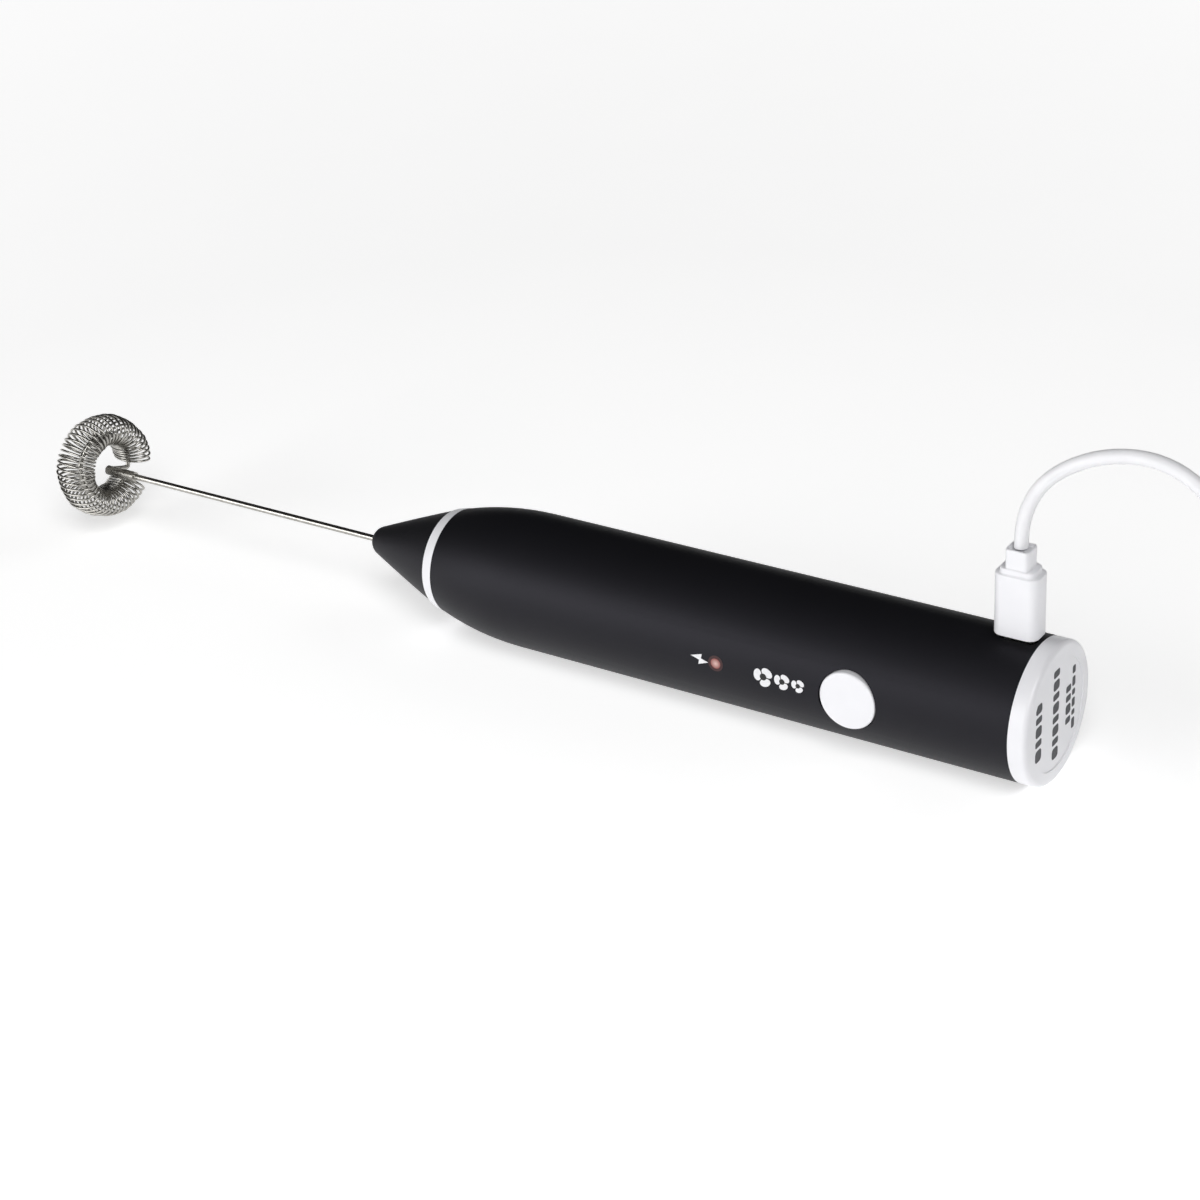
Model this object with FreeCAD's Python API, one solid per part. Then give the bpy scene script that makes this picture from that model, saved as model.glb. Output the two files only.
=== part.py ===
"""Hand-held milk frother with a spring whisk and a charging lead, lying on its side.

The handle's axis runs along X at AXIS_Z above the surface. The whisk points to -X, the flat
end cap to +X, the charging port to +Z and the button to -Y. Millimetres.
"""
import FreeCAD, Part
import math
import os

from FreeCAD import Vector

# ---------------------------------------------------------------- driving dimensions
TUBE_R = 15.5            # handle's outer radius
WALL = 1.5               # moulded wall of the handle
AXIS_Z = TUBE_R          # the handle rests on its lowest line
TUBE_REAR_X = 129.0      # joint between tube and end cap
CAP_T = 4.0              # visible thickness of the end cap
SHOULDER_X = 6.0         # the tube is a plain cylinder behind this
TUBE_FRONT_X = -15.7
TUBE_FRONT_R = 12.3
RING_T = 2.65            # white accent ring
NOSE_BASE_R = 11.5
NOSE_TIP_X = -40.2
NOSE_TIP_R = 1.9
BUTTON_X = 92.9
BUTTON_R = 6.5
BUTTON_TRAVEL = 0.6
LED_X = 61.6
LED_Z = 0.8              # the charging light sits a little above the handle's middle
PORT_X = 124.1
SHAFT_R = 0.75           # whisk wire
WHISK_X = -126.18        # centre of the whisk's hoop
HOOP_R = 7.8
HOOP_RISE = 1.0          # the hoop is bent a little above the shaft's line
SPOKE_TURN = -26.0       # direction of the hoop's spoke about the shaft, from +Y
WHISK_LEAN = 6.5         # degrees that hoop and spring lean, the spoke's side towards the handle
COIL_R = 9.2             # circle that the spring's middle line follows
COIL_LOOP_R = 3.75       # outer half-size of one turn of the spring, away from the hoop's axis
COIL_LOOP_X = 5.8        # the same along the hoop's axis: the turns are a little long
COIL_WIRE = 0.6
MOTOR_R = 10.2
MOTOR_FRONT_X = -4.0
MOTOR_LENGTH = 27.0
CELL_R = 7.0
CELL_LENGTH = 50.0
CABLE_R = 1.5
COIL_CENTRE = (190.0, 2.0)
WOUND_R = 18.2           # outermost turn of the stored cable, to the middle of the cable

# ---------------------------------------------------------------- worked-out places
INNER_R = TUBE_R - WALL
RING_FRONT_X = TUBE_FRONT_X - RING_T
CAP_REAR_X = TUBE_REAR_X + CAP_T
MOTOR_REAR_X = MOTOR_FRONT_X + MOTOR_LENGTH
BOARD_FACE_Y = -2.9      # face of the circuit board that looks at the button
BOARD_BACK_Y = -1.3
CELL_Y = 6.3
CELL_X = 38.0
SWITCH_TOP_Y = BOARD_FACE_Y - 3.5
PLUNGER_TOP_Y = BOARD_FACE_Y - 7.0
PLUNGER_FOOT = 1.9       # length of plunger inside the switch
X_DIR = Vector(1, 0, 0)
Y_DIR = Vector(0, 1, 0)
Z_DIR = Vector(0, 0, 1)
ORIGIN = Vector(0, 0, 0)


# ---------------------------------------------------------------- helpers
def rod(radius, x0, x1, y=0.0, z=0.0):
    """Cylinder along X between two stations."""
    return Part.makeCylinder(radius, x1 - x0, Vector(x0, y, z), X_DIR)


def tube(outer, inner, x0, x1, y=0.0, z=0.0):
    """Round sleeve along X; its bore goes right through."""
    return rod(outer, x0, x1, y, z).cut(rod(inner, x0 - 1, x1 + 1, y, z))


def block(x0, x1, y0, y1, z0, z1):
    return Part.makeBox(x1 - x0, y1 - y0, z1 - z0, Vector(x0, y0, z0))


def round_block(x0, x1, y0, y1, z0, z1, radius, along):
    """Box with the four edges that run along one axis rounded."""
    box = block(x0, x1, y0, y1, z0, z1)
    edges = [e for e in box.Edges if abs(e.tangentAt(e.FirstParameter).dot(along)) > 0.99]
    return box.makeFillet(radius, edges)


def turned(edges):
    """Solid of revolution about the handle's axis from a closed outline in the XY plane."""
    face = Part.Face(Part.Wire(edges))
    return face.revolve(ORIGIN, X_DIR, 360)


def line(a, b):
    return Part.LineSegment(Vector(*a), Vector(*b)).toShape()


def arc(a, middle, b):
    return Part.Arc(Vector(*a), Vector(*middle), Vector(*b)).toShape()


def bend(a, b, radius):
    """Convex arc in the XY plane from a to b, both (x, r)."""
    ax, ar = a
    bx, br = b
    chord = math.hypot(bx - ax, br - ar)
    rise = radius - math.sqrt(radius ** 2 - chord ** 2 / 4)
    nx, nr = -(br - ar) / chord, (bx - ax) / chord
    middle = ((ax + bx) / 2 + nx * rise, (ar + br) / 2 + nr * rise, 0)
    return arc((ax, ar, 0), middle, (bx, br, 0))


def one(shape):
    """The single solid of a result, tidied."""
    clean = shape.removeSplitter()
    if len(clean.Solids) != 1:
        raise ValueError("expected one solid, got %d" % len(clean.Solids))
    return clean.Solids[0]


def save(name, shape, lift=AXIS_Z):
    """Write one node; handle parts are modelled about their own axis and lifted to it."""
    placed = shape.copy()
    placed.translate(Vector(0, 0, lift))
    if not placed.isValid():
        raise ValueError(name + " is not valid")
    placed.exportStep("parts/" + name + ".step")
    print("%-22s %2d solid  %9.1f mm3" % (name, len(placed.Solids), placed.Volume))


def save_group(name, shapes, lift=AXIS_Z):
    save(name, Part.makeCompound(shapes), lift)


# ---------------------------------------------------------------- handle shells
def handle_tube():
    """Moulded tube with a rounded shoulder and holes for button, lamp and charging port."""
    front = (TUBE_FRONT_X, TUBE_FRONT_R)
    shoulder = (SHOULDER_X, TUBE_R)
    inner_front = (TUBE_FRONT_X, TUBE_FRONT_R - WALL)
    inner_shoulder = (SHOULDER_X, INNER_R)
    outline = [
        bend(front, shoulder, 75.0),
        line((*shoulder, 0), (TUBE_REAR_X, TUBE_R, 0)),
        line((TUBE_REAR_X, TUBE_R, 0), (TUBE_REAR_X, INNER_R, 0)),
        line((TUBE_REAR_X, INNER_R, 0), (*inner_shoulder, 0)),
        bend(inner_front, inner_shoulder, 73.5),
        line((*inner_front, 0), (*front, 0)),
    ]
    body = turned(Part.__sortEdges__(outline))
    button_hole = Part.makeCylinder(BUTTON_R + 0.2, 10, Vector(BUTTON_X, -20, 0), Y_DIR)
    lamp_hole = Part.makeCylinder(1.25, 10, Vector(LED_X, -20, LED_Z), Y_DIR)
    port_hole = round_block(PORT_X - 4.1, PORT_X + 4.1, -1.7, 1.7, 10, 20, 1.2, Z_DIR)
    return one(body.cut(button_hole).cut(lamp_hole).cut(port_hole))


def nose_cone():
    """Hollow cone with a round tip; the whisk's wire passes through its bore."""
    base_x = RING_FRONT_X
    crown = (base_x - 10.4, 7.45)
    lip_x = NOSE_TIP_X + 1.9
    outline = [
        arc((base_x, NOSE_BASE_R, 0), (*crown, 0), (lip_x, 3.5, 0)),
        arc((lip_x, 3.5, 0), (lip_x - 1.25, 2.75, 0), (NOSE_TIP_X, NOSE_TIP_R, 0)),
        line((NOSE_TIP_X, NOSE_TIP_R, 0), (NOSE_TIP_X, 1.1, 0)),
        line((NOSE_TIP_X, 1.1, 0), (NOSE_TIP_X + 4.5, 1.1, 0)),
        line((NOSE_TIP_X + 4.5, 1.1, 0), (NOSE_TIP_X + 4.5, 2.6, 0)),
        line((NOSE_TIP_X + 4.5, 2.6, 0), (NOSE_TIP_X + 7.5, 3.8, 0)),
        line((NOSE_TIP_X + 7.5, 3.8, 0), (base_x - 1.0, 9.6, 0)),
        line((base_x - 1.0, 9.6, 0), (base_x, 9.6, 0)),
        line((base_x, 9.6, 0), (base_x, NOSE_BASE_R, 0)),
    ]
    return one(turned(Part.__sortEdges__(outline)))


def accent_ring():
    """Light ring between nose and tube, with a spigot into each of them."""
    band = [
        line((RING_FRONT_X, 8.6, 0), (RING_FRONT_X, 11.7, 0)),
        bend((RING_FRONT_X, 11.7), (TUBE_FRONT_X, 12.35), 20.0),
        line((TUBE_FRONT_X, 12.35, 0), (TUBE_FRONT_X, 8.6, 0)),
        line((TUBE_FRONT_X, 8.6, 0), (RING_FRONT_X, 8.6, 0)),
    ]
    ring = turned(Part.__sortEdges__(band))
    front_spigot = tube(9.5, 8.6, RING_FRONT_X - 0.9, RING_FRONT_X)
    rear_spigot = tube(10.7, 8.6, TUBE_FRONT_X, TUBE_FRONT_X + 4.0)
    return one(ring.fuse([front_spigot, rear_spigot]))


def end_cap():
    """Flat disc with a rounded rim and a notched spigot that snaps into the tube."""
    disc = rod(TUBE_R, TUBE_REAR_X, CAP_REAR_X)
    rim = [e for e in disc.Edges if e.BoundBox.XMin > CAP_REAR_X - 0.01]
    disc = disc.makeFillet(1.1, rim)
    spigot = tube(INNER_R - 0.05, INNER_R - 1.5, TUBE_REAR_X - 6.0, TUBE_REAR_X)
    notch = block(TUBE_REAR_X - 7, TUBE_REAR_X, -6, 6, 0, 20)
    recess = rod(TUBE_R - 3.2, CAP_REAR_X - 0.25, CAP_REAR_X + 1)
    return one(disc.fuse(spigot.cut(notch)).cut(recess))


# ---------------------------------------------------------------- drive
def motor_can():
    """Drawn steel cup, open at the rear, with a boss that holds the front bush."""
    cup = tube(MOTOR_R, MOTOR_R - 0.8, MOTOR_FRONT_X, MOTOR_REAR_X)
    face = tube(MOTOR_R - 0.4, 2.0, MOTOR_FRONT_X, MOTOR_FRONT_X + 0.8)
    boss = tube(3.0, 2.0, MOTOR_FRONT_X - 1.6, MOTOR_FRONT_X + 0.4)
    body = cup.fuse([face, boss])
    for angle in (0, 180):
        at = Vector(MOTOR_FRONT_X - 1, 6.5, 0)
        hole = Part.makeCylinder(0.85, 3, at, X_DIR)
        hole.rotate(ORIGIN, X_DIR, angle)
        body = body.cut(hole)
    return one(body)


def motor_end_bell():
    """Moulded cover that closes the can and carries rear bush, brushes and terminals."""
    plug = rod(MOTOR_R - 0.85, MOTOR_REAR_X - 2.5, MOTOR_REAR_X)
    flange = rod(MOTOR_R, MOTOR_REAR_X, MOTOR_REAR_X + 1.2)
    boss = rod(3.0, MOTOR_REAR_X, MOTOR_REAR_X + 2.4)
    body = plug.fuse([flange, boss]).cut(rod(2.0, MOTOR_REAR_X - 3, MOTOR_REAR_X + 3))
    for sign in (-1, 1):
        slot = block(MOTOR_REAR_X - 3, MOTOR_REAR_X + 2, 6.0, 6.6, -1.3, 1.3)
        slot.rotate(ORIGIN, X_DIR, 90 * sign)
        body = body.cut(slot)
    return one(body)


def motor_magnets():
    """Two curved ferrite magnets glued inside the can."""
    sleeve = tube(MOTOR_R - 0.85, MOTOR_R - 2.3, MOTOR_FRONT_X + 3.0, MOTOR_REAR_X - 8.0)
    gap = block(MOTOR_FRONT_X, MOTOR_REAR_X, -20, 20, -2.6, 2.6)
    return sleeve.cut(gap).Solids


def motor_bush(x0):
    return tube(1.95, 1.05, x0, x0 + 2.4)


def motor_brushes():
    """Two sprung copper leaves that bear on the commutator."""
    leaves = []
    for sign in (-1, 1):
        foot = block(MOTOR_REAR_X - 3.4, MOTOR_REAR_X - 2.6, 2.2 * sign - 0.15, 2.2 * sign + 0.15, -5.4, 1.2)
        leaves.append(foot)
    return leaves


def motor_terminals():
    """Two flat tabs through the end bell, for the wires."""
    tabs = []
    for sign in (-1, 1):
        tab = block(MOTOR_REAR_X - 2.4, MOTOR_REAR_X + 3.6, 6.05, 6.55, -1.2, 1.2)
        tab.rotate(ORIGIN, X_DIR, 90 * sign)
        tabs.append(tab)
    return tabs


def motor_mount():
    """Moulded collar that centres the motor in the tube and takes its two screws."""
    face_x = MOTOR_FRONT_X - 1.7
    collar = tube(12.6, MOTOR_R + 0.05, face_x, MOTOR_FRONT_X + 12)
    face = tube(12.6, 3.4, face_x, MOTOR_FRONT_X - 0.02)
    body = collar.fuse(face)
    for angle in (0, 180):
        hole = Part.makeCylinder(1.0, 5, Vector(face_x - 1, 6.5, 0), X_DIR)
        hole.rotate(ORIGIN, X_DIR, angle)
        body = body.cut(hole)
    for angle in (45, 135, 225, 315):
        rib = block(MOTOR_FRONT_X + 9.5, MOTOR_FRONT_X + 12, 12.2, 13.75, -1.2, 1.2)
        rib.rotate(ORIGIN, X_DIR, angle)
        body = body.fuse(rib)
    return one(body)


def pan_screw(x_head, y, z, shank_r, length):
    """Pan-head screw along +X, its head on the -X side."""
    head = Part.makeCylinder(shank_r * 1.9, 1.0, Vector(x_head - 1.0, y, z), X_DIR)
    shank = Part.makeCylinder(shank_r, length, Vector(x_head, y, z), X_DIR)
    slot = block(x_head - 1.1, x_head - 0.5, y - shank_r * 1.4, y + shank_r * 1.4, z - 0.2, z + 0.2)
    return one(head.fuse(shank).cut(slot))


def armature_core():
    """Laminated three-pole core on the motor's shaft."""
    x0 = MOTOR_FRONT_X + 5.5
    x1 = MOTOR_REAR_X - 9.5
    core = rod(2.6, x0, x1)
    for angle in (0, 120, 240):
        web = block(x0, x1, -0.9, 0.9, 0, 6.6)
        shoe = tube(7.5, 6.4, x0, x1).common(block(x0, x1, -4.4, 4.4, 4.0, 8.0))
        pole = web.fuse(shoe)
        pole.rotate(ORIGIN, X_DIR, angle)
        core = core.fuse(pole)
    return one(core.cut(rod(0.99, x0 - 1, x1 + 1)))


def armature_windings():
    """One enamelled copper winding round each pole."""
    x0 = MOTOR_FRONT_X + 5.5
    x1 = MOTOR_REAR_X - 9.5
    coils = []
    for angle in (0, 120, 240):
        outer = round_block(x0 - 1.6, x1 + 1.6, -2.3, 2.3, 3.1, 5.8, 1.2, Z_DIR)
        hole = block(x0 - 0.02, x1 + 0.02, -0.92, 0.92, 3, 7)
        coil = outer.cut(hole)
        coil.rotate(ORIGIN, X_DIR, angle)
        coils.append(one(coil))
    return coils


def commutator():
    body = tube(2.0, 0.99, MOTOR_REAR_X - 7.4, MOTOR_REAR_X - 2.6)
    for angle in (60, 180, 300):
        slit = block(MOTOR_REAR_X - 6.4, MOTOR_REAR_X - 2, -0.15, 0.15, 1.5, 3)
        slit.rotate(ORIGIN, X_DIR, angle)
        body = body.cut(slit)
    return one(body)


COUPLING_FRONT_X = MOTOR_FRONT_X - 22.0
SOCKET_DEPTH = 11.0


def drive_coupling():
    """Nylon sleeve pressed on the motor's shaft, with a socket that the whisk pushes into."""
    x1 = MOTOR_FRONT_X - 3.0
    sleeve = rod(2.6, COUPLING_FRONT_X, x1)
    mouth = Part.makeCone(1.5, SHAFT_R + 0.03, 1.2, Vector(COUPLING_FRONT_X, 0, 0), X_DIR)
    socket = rod(SHAFT_R + 0.03, COUPLING_FRONT_X, COUPLING_FRONT_X + SOCKET_DEPTH)
    bore = rod(0.99, x1 - 7.0, x1)
    body = sleeve.cut(mouth).cut(socket).cut(bore)
    for angle in range(0, 360, 60):
        rib = block(COUPLING_FRONT_X + 3, x1 - 3, -0.35, 0.35, 2.4, 3.1)
        rib.rotate(ORIGIN, X_DIR, angle)
        body = body.fuse(rib)
    return one(body)


def nose_seal():
    """Rubber lip seal inside the nose that keeps milk off the motor."""
    x0 = NOSE_TIP_X + 4.6
    lip = tube(2.5, SHAFT_R + 0.25, x0, x0 + 0.8)
    skirt = tube(2.5, 1.6, x0, x0 + 2.2)
    return one(lip.fuse(skirt))


# ---------------------------------------------------------------- power and controls
def inner_frame():
    """Tray that holds the cell behind the board; four posts carry the board."""
    x0 = MOTOR_REAR_X + 5.5
    x1 = TUBE_REAR_X - 8.0
    shell = tube(INNER_R - 0.15, INNER_R - 1.2, x0, x1)
    shell = shell.cut(block(x0 - 1, x1 + 1, -20, 3.0, -20, 20))
    cradle = shell.cut(block(x0 - 1, x1 + 1, 0, 20, -4.5, 4.5))
    strips = cradle.fuse([block(x0, x0 + 2.0, 3.0, 13.0, -9, 9).common(rod(INNER_R - 0.15, x0, x0 + 2))])
    rear_wall = block(CELL_X + CELL_LENGTH + 2.0, CELL_X + CELL_LENGTH + 4.0, 2.0, 13.0, -9, 9)
    rear_wall = rear_wall.common(rod(INNER_R - 0.15, x0, x1))
    body = strips.fuse(rear_wall)
    for x in (x0 + 14.0, x1 - 6.0):
        for sign in (-1, 1):
            post = block(x - 2, x + 2, BOARD_BACK_Y, 5.0, 8.2 * sign - 1.8, 8.2 * sign + 1.8)
            hole = Part.makeCylinder(0.7, 5, Vector(x, BOARD_BACK_Y - 0.1, 8.2 * sign), Y_DIR)
            reach = block(x - 2, x + 2, 3.0, 8.0, 8.2 * sign - 1.8, 8.2 * sign + 1.8)
            reach = reach.common(rod(INNER_R - 0.15, x - 3, x + 3))
            body = body.fuse(post.fuse(reach)).cut(hole)
    return one(body.cut(rod(CELL_R + 0.15, CELL_X - 2, CELL_X + CELL_LENGTH + 1.8, CELL_Y)))


def battery_cell():
    """Round lithium cell with a raised button at one end."""
    can = rod(CELL_R, CELL_X, CELL_X + CELL_LENGTH - 1.0, CELL_Y)
    ends = [e for e in can.Edges if len(e.Vertexes) == 1 and e.BoundBox.XLength < 0.01]
    can = can.makeFillet(0.6, ends)
    pole = rod(2.6, CELL_X + CELL_LENGTH - 1.05, CELL_X + CELL_LENGTH, CELL_Y)
    return one(can.fuse(pole))


def battery_tabs():
    """Welded nickel strips at the cell's two ends, bent towards the board."""
    front = block(CELL_X - 0.3, CELL_X, BOARD_BACK_Y, CELL_Y + 2.5, -2.0, 2.0)
    rear_x = CELL_X + CELL_LENGTH
    rear = block(rear_x, rear_x + 0.3, BOARD_BACK_Y, CELL_Y + 2.5, -2.0, 2.0)
    return [front, rear]


def battery_pad():
    """Thin foam strip between cell and tube."""
    pad = tube(INNER_R - 0.1, INNER_R - 0.65, CELL_X + 8, CELL_X + CELL_LENGTH - 8)
    return one(pad.common(block(0, 200, 10, 20, -4.3, 4.3)))


BOARD_X0 = 42.0
BOARD_X1 = 127.4


def circuit_board():
    """Board down the middle of the handle; its top rear corner carries the charging socket."""
    board = block(BOARD_X0, BOARD_X1, BOARD_FACE_Y, BOARD_BACK_Y, -11.0, 11.0)
    ear = block(PORT_X - 6.0, BOARD_X1, BOARD_FACE_Y, BOARD_BACK_Y, 10.0, 12.6)
    board = board.fuse(ear)
    frame_x0 = MOTOR_REAR_X + 5.5
    frame_x1 = TUBE_REAR_X - 8.0
    for x in (frame_x0 + 14.0, frame_x1 - 6.0):
        for z in (-8.2, 8.2):
            board = board.cut(Part.makeCylinder(0.9, 4, Vector(x, -4, z), Y_DIR))
    return one(board)


def board_screws():
    screws = []
    frame_x0 = MOTOR_REAR_X + 5.5
    frame_x1 = TUBE_REAR_X - 8.0
    for x in (frame_x0 + 14.0, frame_x1 - 6.0):
        for z in (-8.2, 8.2):
            head = Part.makeCylinder(1.5, 0.9, Vector(x, BOARD_FACE_Y - 0.9, z), Y_DIR)
            shank = Part.makeCylinder(0.69, 5.0, Vector(x, BOARD_FACE_Y, z), Y_DIR)
            slot = block(x - 1.2, x + 1.2, BOARD_FACE_Y - 1, BOARD_FACE_Y - 0.5, z - 0.2, z + 0.2)
            screws.append(one(head.fuse(shank).cut(slot)))
    return screws


def tact_switch():
    """Square push switch under the button, with a bore for its plunger."""
    body = round_block(BUTTON_X - 3, BUTTON_X + 3, SWITCH_TOP_Y, BOARD_FACE_Y, -3, 3, 0.4, Y_DIR)
    depth = PLUNGER_FOOT + BUTTON_TRAVEL + 0.2
    bore = Part.makeCylinder(1.8, depth, Vector(BUTTON_X, SWITCH_TOP_Y, 0), Y_DIR)
    return one(body.cut(bore))


def switch_plunger():
    length = SWITCH_TOP_Y + PLUNGER_FOOT - PLUNGER_TOP_Y
    return Part.makeCylinder(1.72, length, Vector(BUTTON_X, PLUNGER_TOP_Y, 0), Y_DIR)


def power_button():
    """Flat round key with a softened edge, a retaining flange and a stem to the switch."""
    face_y = -(TUBE_R - 0.15)
    disc = Part.makeCylinder(BUTTON_R, -10.5 - face_y, Vector(BUTTON_X, face_y, 0), Y_DIR)
    rim = [e for e in disc.Edges if e.BoundBox.YMax < face_y + 0.01]
    disc = disc.makeFillet(0.45, rim)
    flange = Part.makeCylinder(BUTTON_R + 0.8, 0.8, Vector(BUTTON_X, -11.3, 0), Y_DIR)
    hollow = Part.makeCylinder(BUTTON_R - 1.0, 3.2, Vector(BUTTON_X, -13.7, 0), Y_DIR)
    stem_end = PLUNGER_TOP_Y - 0.02
    stem = Part.makeCylinder(1.6, stem_end + 14.0, Vector(BUTTON_X, -14.0, 0), Y_DIR)
    return one(disc.fuse(flange).cut(hollow).fuse(stem))


def status_led():
    base = block(LED_X - 1.0, LED_X + 1.0, BOARD_FACE_Y - 0.5, BOARD_FACE_Y, LED_Z - 0.8, LED_Z + 0.8)
    lens = Part.makeCylinder(0.7, 0.5, Vector(LED_X, BOARD_FACE_Y - 1.0, LED_Z), Y_DIR)
    return one(base.fuse(lens))


def light_pipe():
    """Clear rod that brings the lamp's light to the skin of the handle."""
    end_y = BOARD_FACE_Y - 1.1
    start_y = -TUBE_R + 0.02
    stem = Part.makeCylinder(1.2, end_y - start_y, Vector(LED_X, start_y, LED_Z), Y_DIR)
    collar = Part.makeCylinder(2.0, 1.0, Vector(LED_X, -12.9, LED_Z), Y_DIR)
    return one(stem.fuse(collar))


def board_chips():
    """Charge controller, speed controller and coil on the board's two faces."""
    front = block(70, 75, BOARD_FACE_Y - 1.4, BOARD_FACE_Y, -6, -1)
    second = block(106, 110, BOARD_FACE_Y - 1.4, BOARD_FACE_Y, -2, 3)
    choke = Part.makeCylinder(2.4, 2.2, Vector(104, BOARD_BACK_Y, -4), Y_DIR)
    return [front, second, choke]


SOCKET_TOP_Z = 13.2
SOCKET_DEPTH_Z = 5.4


def usb_socket_shell():
    """Folded steel shell of the charging socket, open towards +Z."""
    x0, x1 = PORT_X - 3.75, PORT_X + 3.75
    z0 = SOCKET_TOP_Z - SOCKET_DEPTH_Z
    outer = round_block(x0, x1, -1.3, 1.5, z0, SOCKET_TOP_Z, 0.6, Z_DIR)
    inner = round_block(x0 + 0.25, x1 - 0.25, -1.05, 1.25, z0 + 0.4, SOCKET_TOP_Z + 1, 0.4, Z_DIR)
    return one(outer.cut(inner))


def usb_socket_tongue():
    z0 = SOCKET_TOP_Z - SOCKET_DEPTH_Z + 0.4
    return block(PORT_X - 1.9, PORT_X + 1.9, 0.55, 1.0, z0, SOCKET_TOP_Z - 1.2)


# ---------------------------------------------------------------- paths of wires and cable
def tangent_path(points):
    """Straight runs joined by tangent arcs, each as large as its two runs allow."""
    corners = [Vector(*p) for p in points]
    edges = []
    radii = []
    start = corners[0]
    for before, corner, after in zip(corners, corners[1:], corners[2:]):
        back = before - corner
        ahead = after - corner
        shorter = min(back.Length, ahead.Length)
        turn = math.pi - back.getAngle(ahead)
        reach = 0.45 * shorter
        radius = reach / math.tan(turn / 2)
        radii.append(radius)
        back.normalize()
        ahead.normalize()
        first = corner + back * reach
        last = corner + ahead * reach
        inward = back + ahead
        inward.normalize()
        middle = corner + inward * (radius / math.cos(turn / 2) - radius)
        edges.append(Part.LineSegment(start, first).toShape())
        edges.append(Part.Arc(first, middle, last).toShape())
        start = last
    edges.append(Part.LineSegment(start, corners[-1]).toShape())
    return Part.Wire(edges), radii


def round_tube(name, points, radius):
    """Solid tube along a tangent path, with its volume compared with section times length."""
    path, radii = tangent_path(points)
    start = Vector(*points[0])
    heading = Vector(*points[1]) - start
    section = Part.Wire(Part.makeCircle(radius, start, heading))
    body = path.makePipeShell([section], True, False)
    expected = math.pi * radius ** 2 * path.Length
    print("%s length %.1f volume ratio %.4f radii" % (name, path.Length, body.Volume / expected),
          [round(radius, 1) for radius in radii])
    return body.Solids[0], path.Length


def motor_wires():
    """Two insulated wires from the board's front end to the motor's tabs."""
    wires = []
    for sign in (-1, 1):
        z_tab = 6.3 * sign
        z_pad = 5.0 * sign
        points = [
            (MOTOR_REAR_X + 3.6, 0, z_tab),
            (MOTOR_REAR_X + 9.0, -0.8, z_tab),
            (BOARD_X0 - 7.0, BOARD_FACE_Y - 1.2, z_pad + 0.4 * sign),
            (BOARD_X0 + 1.0, BOARD_FACE_Y - 0.75, z_pad),
            (BOARD_X0 + 4.0, BOARD_FACE_Y - 0.7, z_pad - 0.2 * sign),
        ]
        body, _ = round_tube("motor_wire", points, 0.6)
        wires.append(body)
    return wires


# ---------------------------------------------------------------- whisk
HOOP_GAP = 20.0          # degrees of the hoop left open, beside its spoke
COIL_GAP = 34.0          # degrees of the spring left open, about the spoke
HUB = Vector(WHISK_X, 0, 0)


def whisk_shaft():
    """Straight steel wire from the coupling to the whisk."""
    return rod(SHAFT_R, WHISK_X + 1.0, COUPLING_FRONT_X + SOCKET_DEPTH - 0.5)


def whisk_collar():
    """Crimped steel sleeve where the wire meets the hoop."""
    return tube(1.2, SHAFT_R, WHISK_X + 1.2, WHISK_X + 10.2)


def leaned(shape):
    """Leans a part of the whisk about its hub and lifts it to the hoop's height."""
    turn = math.radians(SPOKE_TURN + 90.0)
    shape.rotate(HUB, Vector(0, math.cos(turn), math.sin(turn)), -WHISK_LEAN)
    shape.translate(Vector(0, 0, HOOP_RISE))
    return shape


def whisk_hoop():
    """Wire ring and its spoke, bent from one wire and welded to the end of the shaft."""
    wire = 0.6
    turn = math.radians(SPOKE_TURN)
    flat_tip = Vector(WHISK_X, HOOP_R * math.cos(turn), HOOP_R * math.sin(turn))
    section = Part.Face(Part.Wire(Part.makeCircle(wire, Vector(WHISK_X, HOOP_R, 0), Z_DIR)))
    ring = section.revolve(HUB, X_DIR, 360.0 - HOOP_GAP)
    ring.rotate(HUB, X_DIR, SPOKE_TURN)
    weld = leaned(Part.makeSphere(wire * 1.12, flat_tip))
    tip = weld.CenterOfMass
    spoke = Part.makeCylinder(wire, (tip - HUB).Length, HUB, tip - HUB)
    bent = leaned(ring).Solids[0].fuse(weld).fuse(spoke).Solids[0]
    hub_bead = Part.makeCylinder(SHAFT_R, 1.8, HUB - X_DIR * 0.8, X_DIR)
    return one(bent.fuse(hub_bead))


def loop_outline(inset):
    """Face of one turn of the spring seen along the hoop's wire, smaller by an inset."""
    oval = Part.Ellipse(Vector(WHISK_X, COIL_R, 0), COIL_LOOP_X - inset, COIL_LOOP_R - inset)
    return Part.Face(Part.Wire(oval.toShape()))


def whisk_coil():
    """Envelope of the spring wound on the hoop: a hollow C-shaped ring."""
    wall = loop_outline(0).cut(loop_outline(COIL_WIRE))
    body = wall.revolve(HUB, X_DIR, 360.0 - COIL_GAP)
    body.rotate(HUB, X_DIR, SPOKE_TURN + COIL_GAP / 2)
    return leaned(body).Solids[0]


# ---------------------------------------------------------------- charging lead
PLUG_FOOT_Z = AXIS_Z + TUBE_R + 1.2
PLUG_SHOULDER_Z = PLUG_FOOT_Z + 13.8
PLUG_NECK_Z = PLUG_SHOULDER_Z + 1.2
CABLE_EXIT_Z = PLUG_NECK_Z + 4.2
WOUND_BAND = 6.2         # width of the band of turns, between the middles of its outer turns
WOUND_TOP = 6.3


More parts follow.
